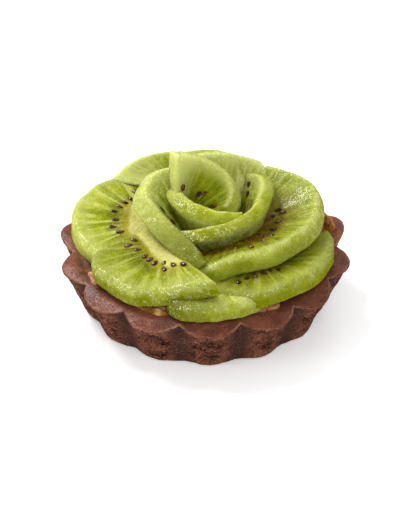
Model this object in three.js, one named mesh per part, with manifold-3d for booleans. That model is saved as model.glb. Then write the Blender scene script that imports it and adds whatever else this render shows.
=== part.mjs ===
// Kiwi rose tartlet: a fluted shortcrust shell, a cream filling and a rose of kiwi half-slices.
// Millimetres, +Z up, origin at the middle of the flat underside. The front of the rose faces -Y.

import * as THREE from "three";
import { mergeVertices } from "three/addons/utils/BufferGeometryUtils.js";
import Module from "manifold-3d";

// ---------------------------------------------------------------------------------------------
// Driving dimensions
// ---------------------------------------------------------------------------------------------

const GAP = 0.3; // clear space between neighbouring pieces

const SHELL = {
  height: 15.6, // to the crest of the rim, above a groove
  flutes: 14,
  firstFluteDeg: -87.6, // heading of the front flute's tip
  tipRadius: 39.6, // outer radius at the rim, on a flute's tip
  grooveRadius: 36, // outer radius at the rim, in a groove
  baseTipRadius: 33.5,
  baseGrooveRadius: 31.9,
  flare: 1.2, // above 1 the wall is steeper at the foot than at the rim
  tipDrop: 1.3, // how far a flute's lip lies below the crest
  // how far each lip is lifted again and reaches further out, flute by flute from the first one
  // anticlockwise
  tipLifts: [-0.5, -0.7, -0.2, 1.2, 3.2, 1, 0.4, 0.2, 0.4, 0.9, 2.6, 1.1, -0.3, -0.4],
  tipReaches: [0, 0, 0, 0.5, 0.2, 0, 0, 0, 0, 0, 0.5, 0.2, 0, 0],
  rimSharpness: 0.42, // low values make round flutes with a sharp groove between them
  baseSharpness: 0.8,
  crown: 0.35, // how far a flute's top swells over the straight line to its lip
  wall: 4.4, // thickness of the wall in a groove
  floor: 3.8,
  baseRounding: 1.6,
  stepsPerFlute: 8,
};

const FILLING = {
  bankHeight: 16.4, // cream level beside the shell, where it bulges a little over the crest
  shoulder: 1, // rounding of the cream's edge
  moundHeight: 21, // cream level under the middle of the rose
  moundSteps: 4,
  steps: 24,
};

const SLICE = {
  thickness: 5.6,
  rounding: 1.0, // soft edge between a cut face and the peeled rim
  stations: 12, // steps along a rim
  chordSteps: 4, // steps along a straight cut past the middle of the fruit
};

const SEED = {
  length: 2.3,
  width: 1.3,
  rise: 0.45, // half of its height
  sunk: 0.1, // how far its middle lies below the cut face
  sides: 5,
  rings: 4,
};

// Half-slices that lie almost flat. `apex` is the middle of the whole fruit on the upper face,
// `heading` points to the middle of the peeled rim, `rise` lifts the rim, `roll` lifts the end
// that lies clockwise, and `sweep` is the stretch of rim that is left, 180 degrees for a true half.
// A sweep over 180 degrees keeps the middle of the fruit inside the slice. `seeds` lists where
// seeds show: degrees along the rim and share of the way to it. `thickness` replaces the value of
// SLICE, and `heart` is the share of each ray, from the apex, that is cut away.
const FLAT_SLICES = [
  {
    name: "kiwi_left",
    apex: [-14.8, 7.7, 19.8],
    heading: 177,
    rise: 6,
    roll: 5,
    radius: 21.8,
    sweep: [-14, 194],
    seeds: [[33, 0.6], [43, 0.47], [54.5, 0.46], [67.5, 0.46], [80.5, 0.48], [98, 0.45], [112, 0.51],
      [124.5, 0.47]],
  },
  {
    name: "kiwi_front",
    apex: [0, -13.2, 19.6],
    heading: -92,
    rise: 4,
    roll: -1,
    radius: 22.4,
    sweep: [60, 142],
    heart: 0.75,
    thickness: 5.1,
  },
  {
    name: "kiwi_low_back_right",
    apex: [7, 12, 18.8],
    heading: 58,
    rise: 8,
    roll: 0,
    radius: 22.4,
    sweep: [0, 180],
  },
  {
    name: "kiwi_low_back_left",
    apex: [-7, 12.5, 18.6],
    heading: 115,
    rise: 8,
    roll: 0,
    radius: 22.4,
    sweep: [0, 180],
  },
];

// Half-slices that bend or stand up like petals. `apex` is the middle of the whole fruit and `rim`
// holds points along the peeled rim, anticlockwise round the inner face. The whole rim counts as
// 180 degrees for `seeds`, and the other fields are as above.
const CURLED_SLICES = [
  {
    name: "kiwi_front_left",
    apex: [-10.5, -9, 23],
    rim: [
      [-15.5, 1, 23.2],
      [-24, -6.6, 22.8],
      [-30.2, -11.6, 22],
      [-29.3, -18.8, 21.8],
      [-25.1, -24.1, 21.6],
      [-19.1, -29.4, 21.8],
      [-12, -30.6, 22.4],
      [-4.4, -31.9, 24.6],
      [3, -32.1, 26.8],
    ],
    thickness: 5,
    seeds: [[28, 0.68], [44.5, 0.57], [63.5, 0.37], [91, 0.35], [106, 0.35], [121, 0.39], [139, 0.39],
      [139.5, 0.53], [154.5, 0.46], [169, 0.49]],
  },
  {
    name: "kiwi_right",
    apex: [14, -12, 20],
    rim: [
      [-1, -27.5, 21.2],
      [11.4, -31, 22],
      [21.6, -27.4, 22.8],
      [29.2, -20.6, 22.4],
      [33.6, -12, 21.8],
      [35, -4.4, 21.4],
      [34.2, 1.4, 21.4],
    ],
    heart: 0.15,
    thickness: 5,
    seeds: [[24.5, 0.66], [32, 0.52], [45, 0.48], [61.5, 0.46], [72, 0.45], [87, 0.5]],
  },
  {
    name: "kiwi_right_upper",
    apex: [9, 1.5, 20.5],
    rim: [
      [-4.6, -21, 23.2],
      [-0.6, -22.4, 24.4],
      [6.9, -20.3, 26.3],
      [17.9, -17.1, 27.7],
      [27.8, -6.9, 28],
      [31.2, 3.4, 28.8],
      [28.8, 13.4, 30.2],
      [17, 19, 31.6],
    ],
    heart: 0.15,
    seeds: [[10.5, 0.56], [22, 0.54], [33, 0.67], [43, 0.46], [53.5, 0.43], [68, 0.36], [70.5, 0.42],
      [47.5, 0.75], [62, 0.68], [72, 0.57], [74.5, 0.64], [89, 0.54], [122, 0.36], [126, 0.41],
      [107, 0.52], [133, 0.5], [124.5, 0.55]],
  },
  {
    name: "petal_left",
    apex: [-1, -1.5, 14],
    rim: [
      [-7.4, 12.4, 34.6],
      [-13.8, 9, 34.4],
      [-15.6, 3.6, 32.2],
      [-9.5, -7.2, 29.5],
      [-2, -16.6, 27],
      [1, -21.8, 25.2],
    ],
    heart: 0.36,
    seeds: [[57, 0.72], [54, 0.52]],
  },
  {
    name: "petal_right",
    apex: [8, 2.5, 11],
    rim: [
      [-7.8, -7.4, 26.2],
      [-1, -9.4, 28.8],
      [5.6, -8.2, 30],
      [12.4, -2.6, 30.8],
      [15.2, 6, 31.5],
      [15, 12.4, 31.5],
      [11.5, 16, 30],
    ],
    heart: 0.42,
    thickness: 4.1,
    seeds: [[172, 0.86], [170, 0.75]],
  },
  {
    name: "petal_centre",
    apex: [2, 6, 11],
    rim: [
      [-7.4, 9.6, 31.2],
      [-5.6, 4.4, 31.2],
      [-3.4, 0.6, 31.2],
      [-0.6, -2, 31.3],
      [3, -4.4, 31.3],
      [7, -4.6, 31],
      [10.4, -3.6, 30.4],
    ],
    heart: 0.42,
    thickness: 4.8,
  },
  {
    name: "petal_centre_back",
    apex: [-8, 3, 21],
    rim: [
      [5.9, 1.5, 28.3],
      [8, 5.4, 31],
      [6.9, 8.4, 33.3],
      [1.7, 9.4, 37.2],
      [-2.8, 8.6, 39.4],
      [-7.3, 6.6, 41.2],
    ],
    heart: 0.3,
    seeds: [[154.5, 0.55], [93, 0.53], [78, 0.59], [26, 0.65]],
  },
  {
    name: "petal_behind",
    apex: [4, 6, 18],
    rim: [
      [8.8, 12, 28],
      [9.6, 15.6, 32],
      [9.4, 17.1, 34.9],
      [4.2, 16.3, 36.5],
      [-3, 15, 36.5],
    ],
    heart: 0.4,
  },
  {
    name: "petal_behind_right",
    apex: [7, 7, 17],
    rim: [
      [19, 14.5, 28],
      [15.9, 17.6, 32.2],
      [12.5, 19, 33.3],
      [6, 19.8, 33.8],
      [0, 19.5, 33.8],
    ],
    heart: 0.4,
    seeds: [[76.5, 0.63], [46, 0.55]],
  },
  {
    name: "petal_back",
    apex: [0, 5, 19],
    rim: [
      [13, 20, 28.6],
      [7.5, 22.6, 32.3],
      [0.6, 22.9, 33.8],
      [-6.5, 21.8, 33.4],
    ],
    heart: 0.35,
  },
  {
    name: "petal_back_left",
    apex: [-6, 17, 24],
    rim: [
      [-4, 28, 30],
      [-10.3, 28, 30],
      [-16.8, 27.8, 28.8],
      [-21, 26.8, 26.8],
      [-24.5, 26, 24],
      [-27, 24.5, 21.6],
    ],
    heart: 0.3,
  },
];

// The slices in the order that they keep their shape: each is cut clear of those before it.
const KEEPING_ORDER = [
  "kiwi_front_left",
  "kiwi_right_upper",
  "kiwi_front",
  "kiwi_right",
  "kiwi_left",
  "petal_left",
  "petal_right",
  "petal_centre",
  "petal_centre_back",
  "petal_behind",
  "petal_behind_right",
  "petal_back",
  "petal_back_left",
  "kiwi_low_back_left",
  "kiwi_low_back_right",
];

// ---------------------------------------------------------------------------------------------
// Materials
// ---------------------------------------------------------------------------------------------

const MATERIALS = {
  shell: { color: 0x67402f, roughness: 0.72, metalness: 0 },
  filling: { color: 0xb98a55, roughness: 0.5, metalness: 0 },
  kiwi: { color: 0xa3ad2a, roughness: 0.28, metalness: 0 },
};

// ---------------------------------------------------------------------------------------------
// Solids
// ---------------------------------------------------------------------------------------------

const wasm = await Module();
wasm.setup();

/** A closed three.js geometry as a manifold solid. */
function solidFrom(geometry) {
  const bare = geometry.clone();
  bare.deleteAttribute("normal");
  bare.deleteAttribute("uv");
  const merged = mergeVertices(bare, 1e-4);
  const corners = [];
  for (let i = 0; i < merged.index.count; i += 3) {
    const [a, b, c] = [0, 1, 2].map((k) => merged.index.getX(i + k));
    if (a !== b && b !== c && c !== a) corners.push(a, b, c);
  }
  return new wasm.Manifold(
    new wasm.Mesh({
      numProp: 3,
      vertProperties: merged.attributes.position.array,
      triVerts: new Uint32Array(corners),
    }),
  );
}

/** The three.js geometry of a manifold solid. */
function geometryFrom(solid) {
  const mesh = solid.getMesh();
  const geometry = new THREE.BufferGeometry();
  geometry.setAttribute("position", new THREE.BufferAttribute(mesh.vertProperties, 3));
  geometry.setIndex(new THREE.BufferAttribute(mesh.triVerts, 1));
  return geometry;
}

/** The largest connected body of a solid, so that crumbs from a cut are left out. */
function largestBody(solid) {
  return solid.decompose().reduce((a, b) => (b.volume() > a.volume() ? b : a));
}

/**
 * Skin over a row of sections, each the same number of points round a closed loop.
 * `closed` joins the last section to the first; otherwise both end sections are capped.
 */
function skinGeometry(sections, closed) {
  const around = sections[0].length;
  const positions = sections.flat().flatMap((point) => [point.x, point.y, point.z]);
  const corners = [];
  const spans = closed ? sections.length : sections.length - 1;
  for (let i = 0; i < spans; i++) {
    const here = i * around;
    const next = ((i + 1) % sections.length) * around;
    for (let j = 0; j < around; j++) {
      const k = (j + 1) % around;
      corners.push(here + j, here + k, next + k, here + j, next + k, next + j);
    }
  }
  if (!closed) {
    const last = (sections.length - 1) * around;
    for (let j = 1; j < around - 1; j++) {
      corners.push(0, j + 1, j);
      corners.push(last, last + j, last + j + 1);
    }
  }
  const geometry = new THREE.BufferGeometry();
  geometry.setAttribute("position", new THREE.Float32BufferAttribute(positions, 3));
  geometry.setIndex(corners);
  return geometry;
}

// ---------------------------------------------------------------------------------------------
// Shell
// ---------------------------------------------------------------------------------------------

/** How far a heading lies past the first flute's tip, counted in flutes. */
function flutesPast(angle) {
  return ((THREE.MathUtils.radToDeg(angle) - SHELL.firstFluteDeg) / 360) * SHELL.flutes;
}

/** How far out a heading lies between groove (0) and flute tip (1). */
function fluteShare(angle, sharpness) {
  return Math.pow(0.5 + 0.5 * Math.cos(2 * Math.PI * flutesPast(angle)), sharpness);
}

/** The shell's section at one heading: [radius, height] pairs, from the axis and back to it. */
function shellSection(angle, grow = 0) {
  const { height, floor, wall, baseRounding, crown } = SHELL;
  const share = fluteShare(angle, SHELL.rimSharpness);
  const baseShare = fluteShare(angle, SHELL.baseSharpness);
  const flute = Math.round(flutesPast(angle)) % SHELL.flutes;
  const drop = SHELL.tipDrop - SHELL.tipLifts[flute];
  const baseRadius = THREE.MathUtils.lerp(SHELL.baseGrooveRadius, SHELL.baseTipRadius, baseShare);
  const tipRadius = SHELL.tipRadius + SHELL.tipReaches[flute];
  const rimRadius = THREE.MathUtils.lerp(SHELL.grooveRadius, tipRadius, share);
  const wallAt = (t) => THREE.MathUtils.lerp(baseRadius, rimRadius, Math.pow(t, SHELL.flare)) + grow;
  const lipHeight = height - drop * share + grow;
  const innerRadius = SHELL.grooveRadius - wall - grow;
  const innerBase = innerRadius - 2.4;
  const ledgeRadius = (SHELL.grooveRadius + rimRadius) / 2 - 1.8;
  return [
    [0, -grow],
    [baseRadius - baseRounding, -grow],
    [baseRadius - 0.3 * baseRounding, 0.3 * baseRounding],
    [wallAt(0.1), 0.1 * height + 0.4],
    [wallAt(0.4), 0.4 * height],
    [wallAt(0.7), 0.7 * height],
    [wallAt(0.93), lipHeight - 1],
    [wallAt(1), lipHeight - 0.35],
    [wallAt(1) - 0.5, lipHeight],
    [ledgeRadius, (height + grow + lipHeight) / 2 + crown * share],
    [SHELL.grooveRadius - 2.2, height + grow],
    [innerRadius + 0.6, height + grow],
    [innerRadius, height - 0.7],
    [innerBase, floor + 1.4],
    [innerBase - 1.4, floor + grow],
    [0, floor + grow],
  ];
}

function buildShell(grow = 0) {
  const steps = SHELL.flutes * SHELL.stepsPerFlute;
  const sections = [];
  for (let i = 0; i < steps; i++) {
    const angle = (2 * Math.PI * i) / steps;
    const [across, along] = [Math.cos(angle), Math.sin(angle)];
    const section = shellSection(angle, grow).map(([r, z]) => new THREE.Vector3(r * across, r * along, z));
    sections.push(section.reverse());
  }
  return solidFrom(skinGeometry(sections, true));
}

// ---------------------------------------------------------------------------------------------
// Filling
// ---------------------------------------------------------------------------------------------

/** Cream that fills the shell and swells into a low mound under the rose. */
function buildFilling() {
  const wallRadius = SHELL.grooveRadius - SHELL.wall - GAP;
  const floorHeight = SHELL.floor + GAP;
  const profile = [new THREE.Vector2(0, floorHeight)];
  profile.push(new THREE.Vector2(wallRadius - 4.2, floorHeight));
  profile.push(new THREE.Vector2(wallRadius - 2.6, floorHeight + 1.8));
  profile.push(new THREE.Vector2(wallRadius, FILLING.bankHeight - FILLING.shoulder));
  for (let i = 0; i <= FILLING.moundSteps; i++) {
    const share = i / FILLING.moundSteps;
    const swell = 0.5 - 0.5 * Math.cos(Math.PI * share);
    const height = THREE.MathUtils.lerp(FILLING.bankHeight, FILLING.moundHeight, swell);
    profile.push(new THREE.Vector2((wallRadius - FILLING.shoulder) * (1 - share), height));
  }
  const lathe = new THREE.LatheGeometry(profile, FILLING.steps);
  lathe.rotateX(Math.PI / 2);
  return solidFrom(lathe);
}

// ---------------------------------------------------------------------------------------------
// Kiwi slices
// ---------------------------------------------------------------------------------------------

/** The rim of an almost flat slice: a circular arc in a tilted plane, with its chord if it has one. */
function flatRim(spec) {
  const [heading, rise, roll] = [spec.heading, spec.rise, spec.roll].map(THREE.MathUtils.degToRad);
  const outward = new THREE.Vector3(Math.cos(heading), Math.sin(heading), 0);
  const level = new THREE.Vector3(Math.sin(heading), -Math.cos(heading), 0);
  outward.applyAxisAngle(level, rise);
  const across = level.applyAxisAngle(outward, -roll);
  const [from, to] = spec.sweep.map(THREE.MathUtils.degToRad);
  const points = [];
  for (let i = 0; i <= SLICE.stations; i++) {
    const angle = THREE.MathUtils.lerp(from, to, i / SLICE.stations);
    const point = new THREE.Vector3(...spec.apex);
    point.addScaledVector(across, spec.radius * Math.cos(angle));
    points.push(point.addScaledVector(outward, spec.radius * Math.sin(angle)));
  }
  if (to - from > Math.PI) {
    const [last, first] = [points.at(-1), points[0]];
    for (let i = 1; i < SLICE.chordSteps; i++) points.push(last.clone().lerp(first, i / SLICE.chordSteps));
  }
  return points;
}

/** The rim of a curled slice: a smooth curve through its points. */
function curledRim(spec) {
  const curve = new THREE.CatmullRomCurve3(spec.rim.map((point) => new THREE.Vector3(...point)));
  return curve.getSpacedPoints(SLICE.stations);
}

/** A cut slice of kiwi, spanned by straight rays of flesh from its apex to points on its rim. */
class KiwiSlice {
  constructor(spec) {
    this.apex = new THREE.Vector3(...spec.apex);
    this.heart = spec.heart ?? 0;
    this.thickness = spec.thickness ?? SLICE.thickness;
    this.seeds = spec.seeds ?? [];
    const points = spec.rim ? curledRim(spec) : flatRim(spec);
    this.whole = points.length > SLICE.stations + 1;
    this.rays = points.map((point, i) => this.rayTo(points, i));
  }

  /** The ray to one rim point: its direction, its length and the way the inner face looks. */
  rayTo(points, i) {
    const count = points.length;
    const before = this.whole ? points[(i + count - 1) % count] : points[Math.max(i - 1, 0)];
    const after = this.whole ? points[(i + 1) % count] : points[Math.min(i + 1, count - 1)];
    const ray = points[i].clone().sub(this.apex);
    const reach = ray.length();
    const direction = ray.normalize();
    const normal = new THREE.Vector3().crossVectors(direction, after.clone().sub(before)).normalize();
    return { direction, reach, normal };
  }

  /** A point `distance` along a ray from the apex and `depth` below the inner face. */
  pointOn(ray, distance, depth) {
    const point = this.apex.clone().addScaledVector(ray.direction, distance);
    return point.addScaledVector(ray.normal, -depth);
  }

  /** The closed outline of the slice's flesh along one ray, swollen by `grow`. */
  sectionAt(ray, grow) {
    const outer = ray.reach + grow;
    const inner = this.heart > 0 ? this.heart * ray.reach - grow : 0;
    const [top, bottom] = [-grow, this.thickness + grow];
    const outline = [
      [inner, top],
      [outer - SLICE.rounding, top],
      [outer, top + SLICE.rounding],
      [outer, bottom - SLICE.rounding],
      [outer - SLICE.rounding, bottom],
      [inner, bottom],
    ];
    return outline.map(([distance, depth]) => this.pointOn(ray, distance, depth));
  }

  /** The slice's body. `grow` swells it evenly, to cut its neighbours clear. */
  body(grow = 0) {
    const sections = this.rays.map((ray) => this.sectionAt(ray, grow));
    if (grow > 0 && !this.whole) {
      pushApart(sections[0], sections[1], grow);
      pushApart(sections.at(-1), sections.at(-2), grow);
    }
    return solidFrom(skinGeometry(sections, this.whole));
  }

  /** One seed, lying along its ray at an angle along the rim and a share of the reach. */
  seedAt([degrees, share], grow = 0) {
    const place = (degrees / 180) * SLICE.stations;
    const [here, next] = [this.rays[Math.floor(place)], this.rays[Math.ceil(place)]];
    const direction = here.direction.clone().lerp(next.direction, place % 1).normalize();
    const facing = here.normal.clone().lerp(next.normal, place % 1);
    const side = new THREE.Vector3().crossVectors(facing, direction).normalize();
    const normal = new THREE.Vector3().crossVectors(direction, side);
    const reach = THREE.MathUtils.lerp(here.reach, next.reach, place % 1);
    const seed = new THREE.SphereGeometry(1, SEED.sides, SEED.rings);
    seed.rotateZ(-Math.PI / 2);
    seed.scale(SEED.length / 2 + grow, SEED.width / 2 + grow, SEED.rise + grow);
    const frame = new THREE.Matrix4().makeBasis(direction, side, normal);
    seed.applyMatrix4(frame.setPosition(this.pointOn({ direction, normal }, share * reach, SEED.sunk)));
    return solidFrom(seed);
  }
}

/** Moves an end section away from its neighbour. */
function pushApart(end, inside, distance) {
  const away = end[1].clone().sub(inside[1]).setLength(distance);
  for (const point of end) point.add(away);
}

/** Each slice's body, cut clear of the shell and of the slices that keep their shape before it. */
function cutSlices(slices, shellClearance) {
  const bodies = new Map();
  let taken = shellClearance;
  for (const name of KEEPING_ORDER) {
    const slice = slices.get(name);
    bodies.set(name, largestBody(slice.body().subtract(taken)));
    taken = taken.add(slice.body(GAP));
  }
  return { bodies, taken };
}

/** A slice's body with the seeds that lie clear of every other piece. */
function withSeeds(name, slices, bodies) {
  const others = [...bodies].filter(([other]) => other !== name).map(([, solid]) => solid);
  let seeded = bodies.get(name);
  const slice = slices.get(name);
  for (const seed of slice.seeds) {
    const room = slice.seedAt(seed, GAP);
    if (others.some((solid) => solid.intersect(room).volume() > 0)) continue;
    seeded = seeded.add(slice.seedAt(seed));
  }
  return largestBody(seeded);
}

// ---------------------------------------------------------------------------------------------
// Scene graph
// ---------------------------------------------------------------------------------------------

function piece(name, solid, look) {
  const mesh = new THREE.Mesh(geometryFrom(solid), new THREE.MeshStandardMaterial(look));
  mesh.name = name;
  return mesh;
}

const tart = new THREE.Group();
tart.add(piece("shell", buildShell(), MATERIALS.shell));
const slices = new Map([...FLAT_SLICES, ...CURLED_SLICES].map((spec) => [spec.name, new KiwiSlice(spec)]));
const { bodies, taken } = cutSlices(slices, buildShell(GAP));
for (const name of KEEPING_ORDER) tart.add(piece(name, withSeeds(name, slices, bodies), MATERIALS.kiwi));
tart.add(piece("filling", largestBody(buildFilling().subtract(taken)), MATERIALS.filling));

export default tart;
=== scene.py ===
"""A kiwi rose tartlet: a fluted cocoa shortcrust shell, baked cream and a rose of kiwi slices.

The builders work in millimetres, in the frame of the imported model: +Z up, the origin in the
middle of the flat underside, the front of the rose towards -Y. Meshes are scaled to metres last.
"""

import logging
import math
import random
from dataclasses import dataclass, field
from enum import Enum
from typing import Callable, Sequence, Union

import bmesh
import bpy
from mathutils import Matrix, Vector, noise

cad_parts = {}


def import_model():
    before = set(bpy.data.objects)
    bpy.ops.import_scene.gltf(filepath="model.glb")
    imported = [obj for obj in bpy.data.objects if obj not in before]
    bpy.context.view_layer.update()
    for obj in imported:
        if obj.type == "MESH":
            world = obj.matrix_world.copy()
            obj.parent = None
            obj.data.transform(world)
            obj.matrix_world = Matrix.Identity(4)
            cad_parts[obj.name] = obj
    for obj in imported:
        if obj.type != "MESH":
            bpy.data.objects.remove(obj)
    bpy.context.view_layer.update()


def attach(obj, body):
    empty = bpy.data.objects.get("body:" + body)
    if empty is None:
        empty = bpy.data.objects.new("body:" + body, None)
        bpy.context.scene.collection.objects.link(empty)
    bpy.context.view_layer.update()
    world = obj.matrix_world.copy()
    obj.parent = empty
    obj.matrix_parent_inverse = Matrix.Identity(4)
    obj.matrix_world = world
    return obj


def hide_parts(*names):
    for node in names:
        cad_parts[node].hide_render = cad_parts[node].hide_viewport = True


log = logging.getLogger("tartlet")

MM = 0.001
BODY = "root"
MERGE_MM = 1e-4
CORE_UNIT_MM = 5.0

Point = tuple[float, float, float]
Colour = tuple[float, float, float, float]
Pair = tuple[float, float]
Bumps = tuple[Pair, ...]
# A point of a skin with a vector for each of its layers, and what gives it for a grid point.
Spot = tuple[Vector, list[Vector]]
Placer = Callable[[int, int], Spot]
Relief = Callable[[bmesh.types.BMVert], float]


class Slot(Enum):
    """Material slot names."""

    CRUST = "crust"
    CREAM = "cream"
    KIWI = "kiwi"


# ---------------------------------------------------------------------------------------------
# Numbers and curves
# ---------------------------------------------------------------------------------------------


def display(red: int, green: int, blue: int) -> Colour:
    """Turns a display colour of 0 to 255 into scene-linear RGBA.

    Args:
        red: Red, 0 to 255.
        green: Green, 0 to 255.
        blue: Blue, 0 to 255.

    Returns:
        The linear colour with an alpha of 1.
    """
    shares = [channel / 255 for channel in (red, green, blue)]
    linear = [c / 12.92 if c <= 0.04045 else ((c + 0.055) / 1.055) ** 2.4 for c in shares]
    return (linear[0], linear[1], linear[2], 1.0)


def lerp(start: float, end: float, share: float) -> float:
    """The value a share of the way from start to end."""
    return start + (end - start) * share


def clamp(value: float, low: float, high: float) -> float:
    """The value, held between low and high."""
    return max(low, min(high, value))


def ease(value: float, low: float, high: float) -> float:
    """A smooth step that rises from 0 at low to 1 at high."""
    share = clamp((value - low) / (high - low), 0.0, 1.0)
    return share * share * (3 - 2 * share)


def bumps(place: Vector, layers: Bumps) -> float:
    """The height of lumps of several sizes.

    Args:
        place: Where it is read, in millimetres.
        layers: For each kind of lump its size and its height, in millimetres.

    Returns:
        The height, which averages 0.
    """
    return sum(noise.noise(place / size) * height for size, height in layers)


def turned(point: Vector, heading: float) -> Vector:
    """A point of the XZ plane, turned round the Z axis to a heading."""
    return Vector((point.x * math.cos(heading), point.x * math.sin(heading), point.z))


def quarter(steps: int) -> list[float]:
    """The angles that cut a quarter turn into equal steps, without its two ends."""
    return [math.pi / 2 * k / steps for k in range(1, steps)]


def centripetal(points: Sequence[Vector], per_span: int) -> list[Vector]:
    """Samples a centripetal Catmull-Rom curve through some points.

    Args:
        points: The points, in order.
        per_span: Samples from one point to the next.

    Returns:
        The samples, first and last point included.
    """
    before = points[0] * 2 - points[1]
    after = points[-1] * 2 - points[-2]
    chain = [before, *points, after]
    samples = []
    for i in range(1, len(chain) - 2):
        p0, p1, p2, p3 = chain[i - 1 : i + 3]
        gaps = [max((b - a).length, 1e-6) ** 0.5 for a, b in ((p0, p1), (p1, p2), (p2, p3))]
        leave = (p1 - p0) / gaps[0] - (p2 - p0) / (gaps[0] + gaps[1]) + (p2 - p1) / gaps[1]
        arrive = (p2 - p1) / gaps[1] - (p3 - p1) / (gaps[1] + gaps[2]) + (p3 - p2) / gaps[2]
        leave, arrive = leave * gaps[1], arrive * gaps[1]
        for k in range(per_span):
            t = k / per_span
            square, cube = t * t, t * t * t
            point = p1 * (2 * cube - 3 * square + 1) + leave * (cube - 2 * square + t)
            samples.append(point + p2 * (3 * square - 2 * cube) + arrive * (cube - square))
    samples.append(points[-1].copy())
    return samples


class Path:
    """A polyline that can be read at any length along it."""

    def __init__(self, points: Sequence[Vector]) -> None:
        """Measures the polyline.

        Args:
            points: Its points, in order.
        """
        self.points = list(points)
        self.marks = [0.0]
        for a, b in zip(self.points, self.points[1:]):
            self.marks.append(self.marks[-1] + (b - a).length)
        self.length = self.marks[-1]

    def at(self, distance: float) -> Vector:
        """The point at a distance from the start.

        Args:
            distance: The distance; past an end it is held to that end.

        Returns:
            The point.
        """
        distance = clamp(distance, 0.0, self.length)
        low, high = 0, len(self.marks) - 1
        while high - low > 1:
            middle = (low + high) // 2
            low, high = (middle, high) if self.marks[middle] <= distance else (low, middle)
        gap = self.marks[high] - self.marks[low]
        share = (distance - self.marks[low]) / gap if gap > 0 else 0.0
        return self.points[low].lerp(self.points[high], share)


# ---------------------------------------------------------------------------------------------
# Shader nodes
# ---------------------------------------------------------------------------------------------


class Value:
    """A number, colour or vector that varies over a surface. Arithmetic adds Math nodes."""

    def __init__(self, graph: "Graph", socket: bpy.types.NodeSocket) -> None:
        """Wraps an output socket of a graph."""
        self.graph = graph
        self.socket = socket

    def __add__(self, other: "Term") -> "Value":
        """Self plus other."""
        return self.graph.math("ADD", self, other)

    def __radd__(self, other: "Term") -> "Value":
        """Other plus self."""
        return self.graph.math("ADD", other, self)

    def __sub__(self, other: "Term") -> "Value":
        """Self minus other."""
        return self.graph.math("SUBTRACT", self, other)

    def __rsub__(self, other: "Term") -> "Value":
        """Other minus self."""
        return self.graph.math("SUBTRACT", other, self)

    def __mul__(self, other: "Term") -> "Value":
        """Self times other."""
        return self.graph.math("MULTIPLY", self, other)

    def __rmul__(self, other: "Term") -> "Value":
        """Other times self."""
        return self.graph.math("MULTIPLY", other, self)

    def away(self, middle: float) -> "Value":
        """The distance from a middle value."""
        return self.graph.math("ABSOLUTE", self - middle, 0.0)

    def step(self, low: "Term", high: "Term") -> "Value":
        """A smooth step from 0 to 1.

        Args:
            low: Where it is 0.
            high: Where it is 1. It may be smaller than low.

        Returns:
            The step.
        """
        inputs = {"Value": self, "From Min": low, "From Max": high}
        node = self.graph.node("ShaderNodeMapRange", {"interpolation_type": "SMOOTHSTEP"}, inputs)
        return Value(self.graph, node.outputs[0])

    def coated(self, *coats: tuple["Term", "Paint"]) -> "Value":
        """Self, a colour, under coats of paint.

        Args:
            coats: For each coat, from the lowest up, how far it covers and its paint.

        Returns:
            The colour.
        """
        colour = self
        for cover, paint in coats:
            colour = self.graph.mix(cover, colour, paint)
        return colour


Term = Union[Value, float]
Paint = Union[Value, Colour]


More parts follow.
